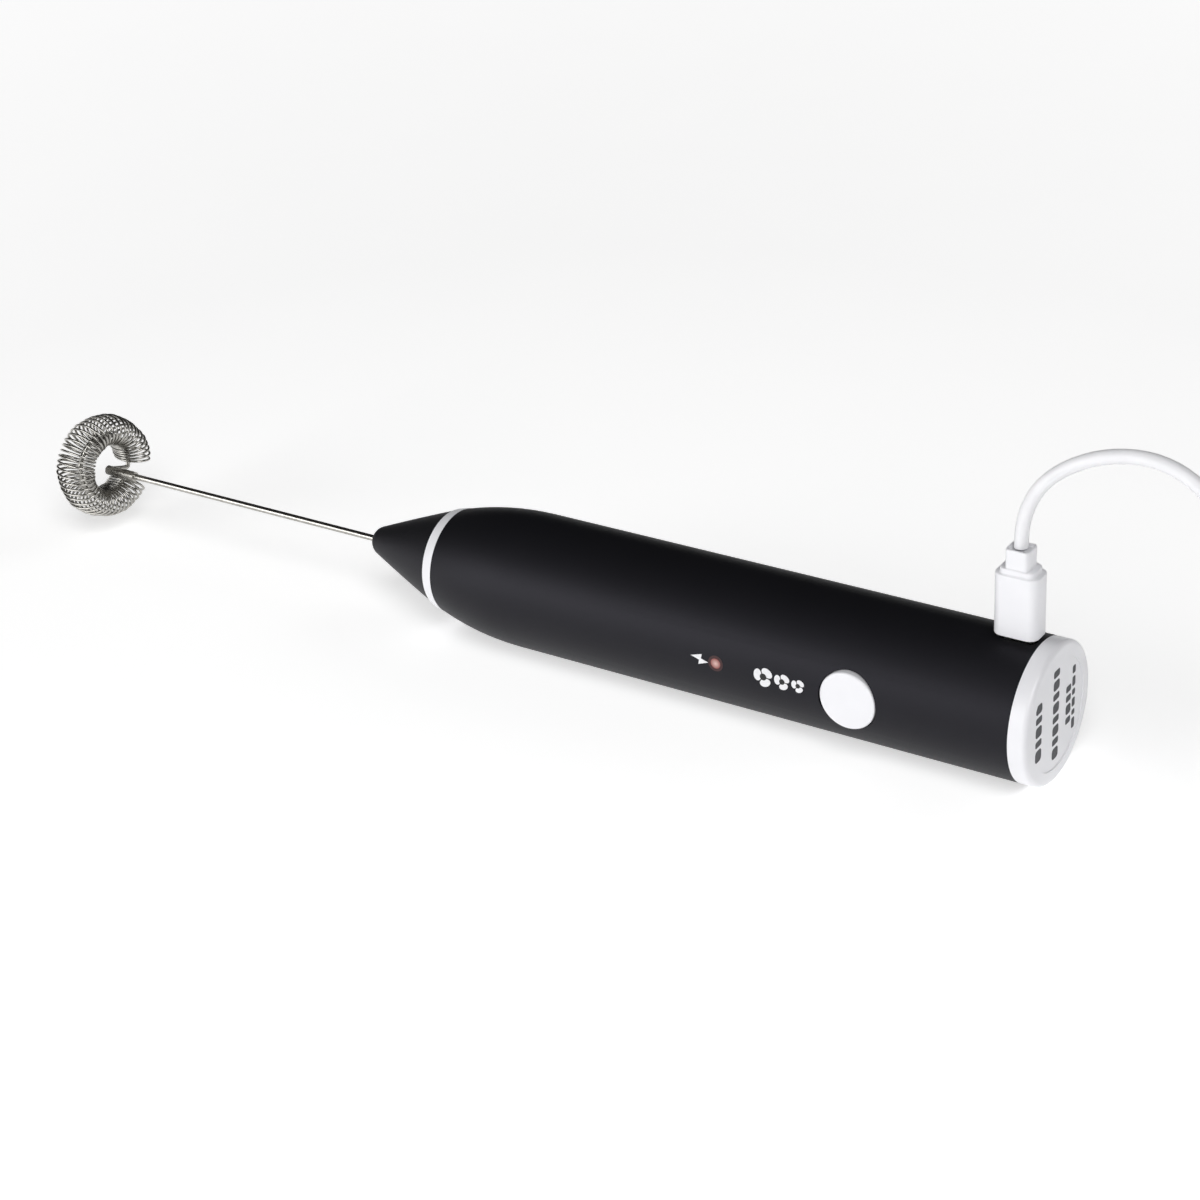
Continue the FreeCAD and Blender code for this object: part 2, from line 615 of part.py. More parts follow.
def charge_plug_body():
    """Moulded grip of the charging plug with a stepped shoulder and a short neck."""
    x0, x1 = PORT_X - 4.9, PORT_X + 4.9
    grip = round_block(x0, x1, -3.3, 3.3, PLUG_FOOT_Z, PLUG_SHOULDER_Z, 2.2, Z_DIR)
    rim = [e for e in grip.Edges if e.BoundBox.ZMin > PLUG_SHOULDER_Z - 0.01]
    grip = grip.makeFillet(0.6, rim)
    step = round_block(x0 + 1.0, x1 - 1.0, -2.7, 2.7, PLUG_SHOULDER_Z - 0.5, PLUG_NECK_Z, 1.8, Z_DIR)
    neck = round_block(PORT_X - 2.7, PORT_X + 2.7, -2.5, 2.5, PLUG_NECK_Z - 0.1, CABLE_EXIT_Z, 2.2, Z_DIR)
    return one(grip.fuse([step, neck]))


def charge_plug_shell():
    """Steel tongue of the plug, seated in the socket."""
    z0 = AXIS_Z + SOCKET_TOP_Z - SOCKET_DEPTH_Z + 0.6
    outer = round_block(PORT_X - 3.3, PORT_X + 3.3, -0.85, 1.1, z0, PLUG_FOOT_Z, 0.4, Z_DIR)
    pocket = block(PORT_X - 2.6, PORT_X + 2.6, 0.35, 1.2, z0 - 0.1, z0 + 4.8)
    return one(outer.cut(pocket))


CX, CY = COIL_CENTRE
LAY_Z = CABLE_R + 0.2
CABLE_ROUTE = [
    (PORT_X, 0.0, CABLE_EXIT_Z),
    (123.8, 0.0, 57.6),
    (128.9, 0.0, 67.9),
    (141.0, 0.0, 75.2),
    (154.0, 0.0, 76.2),
    (165.0, -1.5, 70.0),
    (170.5, -4.0, 58.0),
    (172.5, -7.0, 43.0),
    (172.8, -10.5, 28.0),
    (174.0, -13.6, 14.5),
    (179.7, -15.9, 5.2),
    (CX, CY - WOUND_R, LAY_Z),
]
TAIL_START = (CX + 3.0, CY - WOUND_R + 0.4, LAY_Z + 3.0)
TAIL_ROUTE = [
    TAIL_START,
    (CX + 10.0, CY - WOUND_R - 0.4, LAY_Z + 2.6),
    (CX + 17.5, CY - WOUND_R + 0.6, LAY_Z + 2.2),
]
USB_A_AXIS = (TAIL_ROUTE[-1][1], 3.9)


def charge_cable_coil():
    """Outer shape of the wound cable: a flat ring with rounded edges."""
    inner = WOUND_R - WOUND_BAND - CABLE_R
    outer = WOUND_R + CABLE_R
    ring = Part.makeCylinder(outer, WOUND_TOP, Vector(CX, CY, 0), Z_DIR)
    ring = ring.cut(Part.makeCylinder(inner, WOUND_TOP, Vector(CX, CY, 0), Z_DIR))
    rims = [e for e in ring.Edges if e.BoundBox.ZLength < 0.01]
    return one(ring.makeFillet(1.4, rims))


def cable_tie():
    """Soft band that holds the turns together at the far side of the coil."""
    x0 = CX - WOUND_R - CABLE_R - 0.6
    x1 = CX - WOUND_R + WOUND_BAND + CABLE_R + 0.6
    outer = round_block(x0, x1, CY - 3.5, CY + 3.5, 0.0, WOUND_TOP + 0.6, 1.8, Y_DIR)
    inner = round_block(x0 + 0.6, x1 - 0.6, CY - 4, CY + 4, 0.6, WOUND_TOP, 1.4, Y_DIR)
    return one(outer.cut(inner))


def usb_a_body():
    """Moulded grip of the lead's far plug, lying flat, with a tapered strain relief."""
    x0 = TAIL_ROUTE[-1][0]
    y, z = USB_A_AXIS
    relief = Part.makeCone(2.0, 3.4, 8.0, Vector(x0, y, z), X_DIR)
    grip = round_block(x0 + 7.0, x0 + 27.0, y - 7.8, y + 7.8, z - 3.9, z + 3.9, 2.0, X_DIR)
    pocket = block(x0 + 24.0, x0 + 27.0, y - 6.0, y + 6.0, z - 2.25, z + 2.25)
    return one(grip.fuse(relief).cut(pocket))


def usb_a_shell():
    x0 = TAIL_ROUTE[-1][0] + 27.0
    y, z = USB_A_AXIS
    outer = block(x0 - 3.0, x0 + 12.0, y - 6.0, y + 6.0, z - 2.25, z + 2.25)
    inner = block(x0, x0 + 13.0, y - 5.7, y + 5.7, z - 1.95, z + 1.95)
    body = outer.cut(inner)
    for sign in (-1, 1):
        window = block(x0 + 5.0, x0 + 7.5, y + 2.9 * sign - 1.2, y + 2.9 * sign + 1.2, z, z + 4)
        body = body.cut(window)
    return one(body)


def usb_a_tongue():
    x0 = TAIL_ROUTE[-1][0] + 27.0
    y, z = USB_A_AXIS
    return block(x0, x0 + 11.2, y - 5.6, y + 5.6, z - 1.9, z - 0.1)


# ---------------------------------------------------------------- build
os.makedirs("parts", exist_ok=True)

save("handle_tube", handle_tube())
save("nose_cone", nose_cone())
save("accent_ring", accent_ring())
save("end_cap", end_cap())

save("motor_can", motor_can())
save("motor_end_bell", motor_end_bell())
save_group("motor_magnets", motor_magnets())
save("motor_front_bush", motor_bush(MOTOR_FRONT_X - 1.5))
save("motor_rear_bush", motor_bush(MOTOR_REAR_X - 0.1))
save_group("motor_brushes", motor_brushes())
save_group("motor_terminals", motor_terminals())
save("motor_mount", motor_mount())
save_group("motor_screws", [pan_screw(MOTOR_FRONT_X - 1.7, side * 6.5, 0, 0.8, 4.0) for side in (-1, 1)])
save("motor_shaft", rod(1.0, MOTOR_FRONT_X - 9.5, MOTOR_REAR_X + 2.2))
save("armature_core", armature_core())
save_group("armature_windings", armature_windings())
save("commutator", commutator())
save("drive_coupling", drive_coupling())
save("nose_seal", nose_seal())

save("inner_frame", inner_frame())
save("battery_cell", battery_cell())
save_group("battery_tabs", battery_tabs())
save("battery_pad", battery_pad())
save("circuit_board", circuit_board())
save_group("board_screws", board_screws())
save_group("board_chips", board_chips())
save("tact_switch", tact_switch())
save("switch_plunger", switch_plunger())
save("power_button", power_button())
save("status_led", status_led())
save("light_pipe", light_pipe())
save("usb_socket_shell", usb_socket_shell())
save("usb_socket_tongue", usb_socket_tongue())
save_group("motor_wires", motor_wires())

save("whisk_shaft", whisk_shaft())
save("whisk_collar", whisk_collar())
save("whisk_hoop", whisk_hoop())
save("whisk_coil", whisk_coil())

save("charge_plug_body", charge_plug_body(), 0)
save("charge_plug_shell", charge_plug_shell(), 0)
cable, cable_length = round_tube("charge_cable", CABLE_ROUTE, CABLE_R)
save("charge_cable", cable, 0)
save("charge_cable_coil", charge_cable_coil(), 0)
save("cable_tie", cable_tie(), 0)
tail, tail_length = round_tube("charge_cable_tail", TAIL_ROUTE, CABLE_R)
save("charge_cable_tail", tail, 0)
save("usb_a_body", usb_a_body(), 0)
save("usb_a_shell", usb_a_shell(), 0)
save("usb_a_tongue", usb_a_tongue(), 0)
print("cable outside the coil %.1f mm" % (cable_length + tail_length))
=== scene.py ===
import math

import bmesh
import bpy
from mathutils import Matrix, Quaternion, Vector


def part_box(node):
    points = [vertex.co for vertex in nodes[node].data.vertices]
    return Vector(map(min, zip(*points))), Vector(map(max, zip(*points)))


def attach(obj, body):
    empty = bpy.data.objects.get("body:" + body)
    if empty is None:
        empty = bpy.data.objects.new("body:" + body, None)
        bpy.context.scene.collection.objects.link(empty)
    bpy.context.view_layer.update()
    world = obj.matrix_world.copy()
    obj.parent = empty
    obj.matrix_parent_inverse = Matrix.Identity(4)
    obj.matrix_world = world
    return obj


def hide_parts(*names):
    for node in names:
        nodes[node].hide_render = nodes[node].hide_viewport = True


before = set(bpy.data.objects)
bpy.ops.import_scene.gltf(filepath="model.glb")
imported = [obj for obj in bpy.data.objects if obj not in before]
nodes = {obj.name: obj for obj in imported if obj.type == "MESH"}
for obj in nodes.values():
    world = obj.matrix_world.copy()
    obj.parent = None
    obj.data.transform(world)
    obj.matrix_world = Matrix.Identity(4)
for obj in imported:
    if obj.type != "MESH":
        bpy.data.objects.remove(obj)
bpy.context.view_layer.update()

MM = 0.001

# ---------------------------------------------------------------- camera
# A long lens looks down on the button's side of the handle from beyond its capped end.
CAMERA_AT = Vector((0.32264, -0.43302, 0.29325))
CAMERA_AZIMUTH = math.radians(34.75)
CAMERA_ELEVATION = math.radians(27.87)
CAMERA_ROLL = math.radians(-3.49)

back = Vector((
    math.sin(CAMERA_AZIMUTH) * math.cos(CAMERA_ELEVATION),
    -math.cos(CAMERA_AZIMUTH) * math.cos(CAMERA_ELEVATION),
    math.sin(CAMERA_ELEVATION),
))
camera_data = bpy.data.cameras.new("camera")
camera_data.sensor_width = 36.0
camera_data.lens = 80.19
camera_data.clip_start = 0.01
camera = bpy.data.objects.new("camera", camera_data)
camera.location = CAMERA_AT
camera.rotation_mode = "QUATERNION"
camera.rotation_quaternion = (-back).to_track_quat("-Z", "Y") @ Quaternion((0, 0, 1), CAMERA_ROLL)
bpy.context.scene.collection.objects.link(camera)
bpy.context.scene.camera = camera


# ---------------------------------------------------------------- charging lead
# A thin two-core lead in a soft white jacket of thermoplastic rubber. It stands up out of its
# plug, arches over the end of the handle and lies on the surface in five wound turns.
def linear(code):
    """An sRGB hex colour as linear red, green, blue and alpha."""
    parts = [int(code[i:i + 2], 16) / 255 for i in (1, 3, 5)]
    return tuple(p / 12.92 if p <= 0.04045 else ((p + 0.055) / 1.055) ** 2.4 for p in parts) + (1.0,)


def add_node(material, kind, values=None, links=None, **settings):
    """Adds a shader node with its settings, input values and links from (node, output)."""
    made = material.node_tree.nodes.new(kind)
    for name, value in settings.items():
        setattr(made, name, value)
    for socket, value in (values or {}).items():
        made.inputs[socket].default_value = value
    for socket, (source, output) in (links or {}).items():
        material.node_tree.links.new(source.outputs[output], made.inputs[socket])
    return made


def surface(name, values):
    """A new material with its Principled shader's constants set; returns material and shader."""
    material = bpy.data.materials.new(name)
    material.use_nodes = True
    shader = material.node_tree.nodes["Principled BSDF"]
    for socket, value in values.items():
        shader.inputs[socket].default_value = value
    return material, shader


def mottle(material, shader, low, high, size_mm, stretch=(1, 1, 1)):
    """Colour that drifts between two near tones in patches of one size."""
    place = add_node(material, "ShaderNodeTexCoord")
    scaled = add_node(material, "ShaderNodeMapping", {"Scale": stretch}, {"Vector": (place, "Object")})
    cloud = add_node(material, "ShaderNodeTexNoise", {"Scale": 1 / (size_mm * MM), "Detail": 3.0},
                     {"Vector": (scaled, "Vector")})
    ramp = add_node(material, "ShaderNodeMix", {6: linear(low), 7: linear(high)}, {0: (cloud, "Fac")},
                    data_type="RGBA")
    material.node_tree.links.new(ramp.outputs[2], shader.inputs["Base Color"])


def grain(material, shader, size_mm, height_mm, rough_low, rough_high, stretch=(1, 1, 1)):
    """Fine bumps of one size, with roughness that follows them."""
    place = add_node(material, "ShaderNodeTexCoord")
    scaled = add_node(material, "ShaderNodeMapping", {"Scale": stretch}, {"Vector": (place, "Object")})
    specks = add_node(material, "ShaderNodeTexNoise", {"Scale": 1 / (size_mm * MM), "Detail": 2.0},
                      {"Vector": (scaled, "Vector")})
    bump = add_node(material, "ShaderNodeBump", {"Strength": 1.0, "Distance": height_mm * MM},
                    {"Height": (specks, "Fac")})
    rough = add_node(material, "ShaderNodeMapRange", {"To Min": rough_low, "To Max": rough_high},
                     {"Value": (specks, "Fac")})
    material.node_tree.links.new(bump.outputs["Normal"], shader.inputs["Normal"])
    material.node_tree.links.new(rough.outputs["Result"], shader.inputs["Roughness"])


# moulded thermoplastic rubber: soft gloss, a little light passes into it
lead_jacket, shader = surface("thermoplastic rubber jacket", {
    "IOR": 1.49, "Subsurface Weight": 0.25, "Subsurface Radius": (0.004, 0.004, 0.004),
    "Subsurface Scale": 0.5})
mottle(lead_jacket, shader, "#e4e4e7", "#f0f0f2", 6.0)
grain(lead_jacket, shader, 0.5, 0.01, 0.34, 0.46)

LEAD_D = 3.0
PLUG_X = 124.1
LEAD_EXIT = (PLUG_X, 0.0, 51.4)
LEAD_ROUTE = [
    LEAD_EXIT,
    (123.8, 0.0, 57.6),
    (128.9, 0.0, 67.9),
    (141.0, 0.0, 75.2),
    (154.0, 0.0, 76.2),
    (165.0, -1.5, 70.0),
    (170.5, -4.0, 58.0),
    (172.5, -7.0, 43.0),
    (172.8, -10.5, 28.0),
    (174.0, -13.6, 14.5),
    (179.7, -15.9, 5.2),
]
TAIL_ROUTE = [
    (193.0, -15.8, 4.8),
    (200.0, -16.6, 4.3),
    (207.5, -15.6, 3.9),
]
COIL_X, COIL_Y = 190.0, 2.0
OUTER_TURN = 18.2
TURN_STEP = 3.1          # from one turn to the next beside it
LOW_LAYER, HIGH_LAYER = 1.75, 4.8
POINTS_PER_TURN = 16
TURNS = 5


def eased(value, start, end):
    """0 before start, 1 after end, smooth between."""
    share = min(1.0, max(0.0, (value - start) / (end - start)))
    return share * share * (3 - 2 * share)


def wound_turns():
    """Three turns inward on the surface, then two outward on top of them, with gentle crossings."""
    points = []
    for step in range(TURNS * POINTS_PER_TURN):
        turn = step / POINTS_PER_TURN
        inward = eased(turn, 0.70, 0.95) + eased(turn, 1.70, 1.95)
        outward = eased(turn, 3.35, 3.60) + eased(turn, 4.30, 4.55)
        radius = OUTER_TURN - TURN_STEP * (inward - outward)
        height = LOW_LAYER + (HIGH_LAYER - LOW_LAYER) * eased(turn, 2.75, 3.05)
        angle = math.tau * (turn - 0.25)
        points.append((COIL_X + radius * math.cos(angle), COIL_Y + radius * math.sin(angle), height))
    return points


def soft_line(name, points, thickness, material):
    """A round wire or cord along one smooth spline; points and thickness in millimetres."""
    data = bpy.data.curves.new(name, "CURVE")
    data.dimensions = "3D"
    data.bevel_depth = thickness / 2 * MM
    data.bevel_resolution = 5
    data.resolution_u = 6
    data.use_fill_caps = True
    spline = data.splines.new("NURBS")
    spline.points.add(len(points) - 1)
    for place, point in zip(spline.points, points):
        place.co = (point[0] * MM, point[1] * MM, point[2] * MM, 1.0)
    spline.order_u = 3
    spline.use_endpoint_u = True
    data.materials.append(material)
    made = bpy.data.objects.new(name, data)
    bpy.context.scene.collection.objects.link(made)
    return made


charge_lead = soft_line("charge_lead", LEAD_ROUTE + wound_turns() + TAIL_ROUTE, LEAD_D, lead_jacket)
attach(charge_lead, "charge_plug")
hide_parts("charge_cable", "charge_cable_coil", "charge_cable_tail")


# ---------------------------------------------------------------- charging plug
# The grip is moulded over a folded steel shell: white ABS with a satin finish, softened
# corners, a stepped shoulder and a short neck that the lead leaves through.
# moulded white ABS: even satin gloss, with a trace of depth at its thin edges
white_abs, shader = surface("moulded white ABS", {
    "IOR": 1.53, "Subsurface Weight": 0.08, "Subsurface Radius": (0.002, 0.002, 0.002),
    "Subsurface Scale": 0.5, "Coat Weight": 0.15, "Coat Roughness": 0.25})
mottle(white_abs, shader, "#e7e7eb", "#f1f1f4", 9.0)
grain(white_abs, shader, 0.6, 0.004, 0.30, 0.42)


def finished(name, shape, material, smooth=True):
    """Turns a bmesh into an object with one material, smooth unless it is to be flat."""
    mesh = bpy.data.meshes.new(name)
    bmesh.ops.recalc_face_normals(shape, faces=shape.faces)
    shape.to_mesh(mesh)
    shape.free()
    for face in mesh.polygons:
        face.use_smooth = smooth
    mesh.materials.append(material)
    made = bpy.data.objects.new(name, mesh)
    bpy.context.scene.collection.objects.link(made)
    return made


def block(width, depth, height, centre, corner, direction=2, segments=8):
    """A box, its four edges along one axis rounded; millimetres."""
    shape = bmesh.new()
    size = Matrix.Diagonal((width * MM, depth * MM, height * MM, 1))
    bmesh.ops.create_cube(shape, size=1, matrix=Matrix.Translation(Vector(centre) * MM) @ size)
    upright = [e for e in shape.edges
               if abs((e.verts[0].co - e.verts[1].co).normalized()[direction]) > 0.99]
    bmesh.ops.bevel(shape, geom=upright, offset=corner * MM, segments=segments, profile=0.5,
                    affect="EDGES", material=-1)
    return shape


def end_face(shape, axis, sign):
    """The largest of the faces that lie furthest along one axis and look that way."""
    shape.normal_update()
    return max(shape.faces, key=lambda f: (f.normal[axis] * sign > 0.9,
                                           round(f.calc_center_median()[axis] * sign, 6), f.calc_area()))


def step_out(shape, axis, sign, inset_mm, out_mm, narrower):
    """Insets the end face, narrows it in X, and moves it out (or in, if negative)."""
    face = end_face(shape, axis, sign)
    bmesh.ops.inset_individual(shape, faces=[face], thickness=inset_mm * MM)
    face = end_face(shape, axis, sign)
    bmesh.ops.scale(shape, vec=(narrower, 1, 1), verts=face.verts,
                    space=Matrix.Translation(-face.calc_center_median()))
    made = bmesh.ops.extrude_discrete_faces(shape, faces=[face])["faces"]
    move = Vector((0, 0, 0))
    move[axis] = sign * out_mm * MM
    bmesh.ops.translate(shape, vec=move, verts=list({v for f in made for v in f.verts}))
    bmesh.ops.remove_doubles(shape, verts=shape.verts, dist=1e-7)


MERGE_MM = 0.004         # corners closer than this become one


def soften(shape, amount_mm, segments=3, sharper_than=30):
    """Rounds every edge that is sharper than an angle in degrees."""
    limit = math.radians(sharper_than)
    sharp = [e for e in shape.edges if e.is_manifold and e.calc_face_angle(0) > limit]
    bmesh.ops.bevel(shape, geom=sharp, offset=amount_mm * MM, segments=segments, profile=0.5,
                    affect="EDGES", material=-1)
    bmesh.ops.remove_doubles(shape, verts=shape.verts, dist=MERGE_MM * MM)


GRIP_WIDTH, GRIP_DEPTH, GRIP_TOP = 9.8, 6.6, 46.0
GRIP_CORNER = 2.2
PLUG_STEPS = [           # inset, rise and share of the width kept: shoulder, neck, mouth
    (0.6, 1.2, 0.91),
    (0.2, 4.2, 0.72),
    (0.6, -0.5, 1.0),
]
plug_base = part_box("charge_plug_body")[0].z / MM
plug_middle = (PLUG_X, 0, (GRIP_TOP + plug_base) / 2)
plug_shape = block(GRIP_WIDTH, GRIP_DEPTH, GRIP_TOP - plug_base, plug_middle, GRIP_CORNER)
for inset, rise, kept in PLUG_STEPS:
    step_out(plug_shape, 2, 1, inset, rise, kept)
soften(plug_shape, 0.3)
charge_plug = finished("charge_plug_grip", plug_shape, white_abs)
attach(charge_plug, "charge_plug")
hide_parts("charge_plug_body")

# ---------------------------------------------------------------- USB plug at the far end
# The same white ABS moulded flat round a steel shell, with a ribbed, tapered strain relief.
usb_low, usb_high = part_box("usb_a_body")
usb_y = (usb_low.y + usb_high.y) / 2 / MM
usb_z = (usb_low.z + usb_high.z) / 2 / MM
relief_x = usb_low.x / MM
USB_WIDTH, USB_HEIGHT, USB_CORNER = 15.6, 7.8, 2.0
RELIEF_LENGTH = 7.0
grip_x0, grip_x1 = relief_x + RELIEF_LENGTH, usb_high.x / MM
usb_middle = ((grip_x0 + grip_x1) / 2, usb_y, usb_z)
usb_shape = block(grip_x1 - grip_x0, USB_WIDTH, USB_HEIGHT, usb_middle, USB_CORNER, direction=0)
soften(usb_shape, 0.6)
usb_grip = finished("usb_a_grip", usb_shape, white_abs)
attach(usb_grip, "charge_plug")
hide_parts("usb_a_body")


def turned(name, outline, centre, material, segments=64):
    """Spins an outline of (station, radius) in millimetres about the X line through a point."""
    shape = bmesh.new()
    points = [shape.verts.new((station * MM, radius * MM, 0)) for station, radius in outline]
    edges = [shape.edges.new(pair) for pair in zip(points, points[1:])]
    bmesh.ops.spin(shape, geom=points + edges, cent=(0, 0, 0), axis=(1, 0, 0), angle=math.tau,
                   steps=segments, use_merge=True)
    bmesh.ops.remove_doubles(shape, verts=shape.verts, dist=1e-7)
    bmesh.ops.translate(shape, vec=Vector(centre) * MM, verts=shape.verts)
    return finished(name, shape, material)


RELIEF_RIBS = 5
FIRST_RIB, FIRST_RIB_R = 0.3, 2.15
RIB_STEP = 1.35
RIB_GROWTH = 0.25        # each rib's radius is larger than the last one's by this much
GROOVE = 0.3
relief = [(0.0, 0.0), (0.0, 1.9)]
for rib in range(RELIEF_RIBS):
    start = FIRST_RIB + rib * RIB_STEP
    radius = FIRST_RIB_R + rib * RIB_GROWTH
    relief += [(start, radius), (start + 0.75, radius + 0.1)]
    relief += [(start + 0.9, radius - GROOVE), (start + 1.2, radius - GROOVE)]
relief += [(7.4, 3.3), (7.4, 0.0)]
usb_relief = turned("usb_a_strain_relief", relief, (relief_x, usb_y, usb_z), white_abs, segments=48)
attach(usb_relief, "charge_plug")

# nickel-plated folded steel: bright, with faint rolling lines
nickel, shader = surface("nickel-plated steel", {"Metallic": 1.0})
mottle(nickel, shader, "#bdb9ae", "#d3d0c8", 3.0)
grain(nickel, shader, 0.15, 0.002, 0.18, 0.34, stretch=(0.1, 1, 1))


def paint(names, material):
    """Gives CAD nodes one material."""
    for name in names:
        nodes[name].data.materials.clear()
        nodes[name].data.materials.append(material)


paint(["usb_a_shell", "charge_plug_shell", "usb_socket_shell", "motor_terminals", "battery_tabs"],
      nickel)
paint(["usb_a_tongue"], white_abs)

# ---------------------------------------------------------------- cable tie
# A strip of grey hook-and-loop tape, closed into a flat band round the turns.
# woven hook-and-loop tape: dull, furry and uneven
tie_tape, shader = surface("woven hook-and-loop tape", {
    "IOR": 1.5, "Sheen Weight": 0.4, "Sheen Roughness": 0.5})
mottle(tie_tape, shader, "#6d6f73", "#8b8d92", 0.9)
grain(tie_tape, shader, 0.3, 0.12, 0.75, 0.95)

tie_low, tie_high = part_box("cable_tie")
tie_size = (tie_high - tie_low) / MM
tie_middle = (tie_high + tie_low) / 2 / MM
TIE_CORNER = 2.2
TAPE_THICKNESS = 0.5
tie_shape = block(tie_size.x, tie_size.y, tie_size.z, tie_middle, TIE_CORNER, direction=1)
for sign in (-1, 1):
    face = end_face(tie_shape, 1, sign)
    bmesh.ops.inset_individual(tie_shape, faces=[face], thickness=TAPE_THICKNESS * MM)
inner_ends = [end_face(tie_shape, 1, sign) for sign in (-1, 1)]
bmesh.ops.bridge_loops(tie_shape, edges=[e for f in inner_ends for e in f.edges])
bmesh.ops.delete(tie_shape, geom=inner_ends, context="FACES_ONLY")
cable_tie = finished("lead_tie", tie_shape, tie_tape)
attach(cable_tie, "charge_plug")
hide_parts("cable_tie")

# ---------------------------------------------------------------- handle tube and nose
# Both are ABS mouldings sprayed with a black soft-touch coat. The coat is matt with the finest
# grain, so a soft box shows in it only as one broad, dull, slightly blue band.
soft_touch, shader = surface("black soft-touch coated ABS", {
    "IOR": 1.42, "Specular IOR Level": 0.45, "Specular Tint": linear("#e4e2f2")})
mottle(soft_touch, shader, "#0a0a0d", "#0f0f12", 14.0)
grain(soft_touch, shader, 0.35, 0.008, 0.48, 0.58)
paint(["handle_tube", "nose_cone"], soft_touch)

# ---------------------------------------------------------------- ring, cap and button
# Bare white ABS mouldings with a satin tool finish.
paint(["accent_ring", "end_cap", "power_button"], white_abs)

# ---------------------------------------------------------------- printed marks
# Pad-printed white ink on the handle: a lightning sign by the charging light and three fans
# that shrink towards the button, one for each speed. The ink stands hardly proud.
HANDLE_R = 15.5
AXIS_Z = 15.5
INK_RISE = 0.035
SECOND_COAT = 0.025       # how far a second ink stands above the first
INK_ROOT = 0.05
# white pad-printing ink: flat and a little chalky
white_ink, shader = surface("white pad-printing ink", {"IOR": 1.5})
mottle(white_ink, shader, "#dcdcdf", "#f0f0f2", 0.7)
grain(white_ink, shader, 0.12, 0.01, 0.45, 0.65)


def wrapped(name, shape, x, z, material, extra=0.0):
    """Thickens a flat print, bends it round the handle at the button's side and finishes it."""
    faces = shape.faces[:]
    grown = bmesh.ops.extrude_face_region(shape, geom=faces)["geom"]
    top = [g for g in grown if isinstance(g, bmesh.types.BMVert)]
    bmesh.ops.translate(shape, vec=(0, 0, (INK_RISE + INK_ROOT + extra) * MM), verts=top)
    for vert in shape.verts:
        along, across, rise = vert.co / MM
        reach = HANDLE_R - INK_ROOT + rise
        angle = (z + across) / HANDLE_R
        vert.co = Vector((x + along, -reach * math.cos(angle), AXIS_Z + reach * math.sin(angle))) * MM
    made = finished(name, shape, material, smooth=False)
    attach(made, "handle")


MARK_Z = 0.65
BOLT_X = 57.8
BOLT = [(-2.3, 0.4), (0.4, 1.25), (0.2, 0.2), (2.0, -0.35), (-0.45, -1.3), (-0.25, -0.2)]
bolt_shape = bmesh.new()
bolt_shape.faces.new([bolt_shape.verts.new((a * MM, b * MM, 0)) for a, b in BOLT])
wrapped("lightning_mark", bolt_shape, BOLT_X, MARK_Z + 0.3, white_ink)

FANS = [(73.2, 2.45), (77.7, 2.0), (81.5, 1.65)]      # place along the handle, outer radius
BLADES = 3
# a blade's half sizes and place, and the hub's radius, as shares of the fan's radius
BLADE_LENGTH, BLADE_WIDTH = 0.56, 0.38
BLADE_BACK, BLADE_SIDE = 0.55, 0.10
HUB_SHARE = 0.32
# black pad-printing ink: blacker than the coat and a little glossier
black_ink, shader = surface("black pad-printing ink", {"IOR": 1.5})
mottle(black_ink, shader, "#050506", "#0a0a0b", 0.7)
grain(black_ink, shader, 0.12, 0.01, 0.35, 0.5)
for number, (fan_x, fan_r) in enumerate(FANS, 1):
    fan_shape = bmesh.new()
    for blade in range(BLADES):
        disc = bmesh.ops.create_circle(fan_shape, cap_ends=True, segments=28, radius=fan_r * MM)
        petal = disc["verts"]
        bmesh.ops.scale(fan_shape, vec=(BLADE_WIDTH, BLADE_LENGTH, 1), verts=petal)
        offset = Vector((-BLADE_BACK, BLADE_SIDE, 0)) * fan_r * MM
        bmesh.ops.translate(fan_shape, vec=offset, verts=petal)
        turn = Matrix.Rotation(-math.tau * blade / BLADES, 3, "Z")
        bmesh.ops.rotate(fan_shape, cent=(0, 0, 0), matrix=turn, verts=petal)
    wrapped("speed_mark_%d" % number, fan_shape, fan_x, MARK_Z, white_ink)
    hub_shape = bmesh.new()
    bmesh.ops.create_circle(hub_shape, cap_ends=True, segments=24, radius=HUB_SHARE * fan_r * MM)
    wrapped("speed_mark_hub_%d" % number, hub_shape, fan_x, MARK_Z, black_ink, SECOND_COAT)

# ---------------------------------------------------------------- print on the end cap
# Grey pad-printed rating marks, kept generic: four columns of short bars in the cap's
# shallow recess, with no lettering.
# grey pad-printing ink: flat, dark and a little uneven
grey_ink, shader = surface("grey pad-printing ink", {"IOR": 1.5})
mottle(grey_ink, shader, "#2f2f34", "#414147", 0.6)
grain(grey_ink, shader, 0.12, 0.01, 0.45, 0.65)

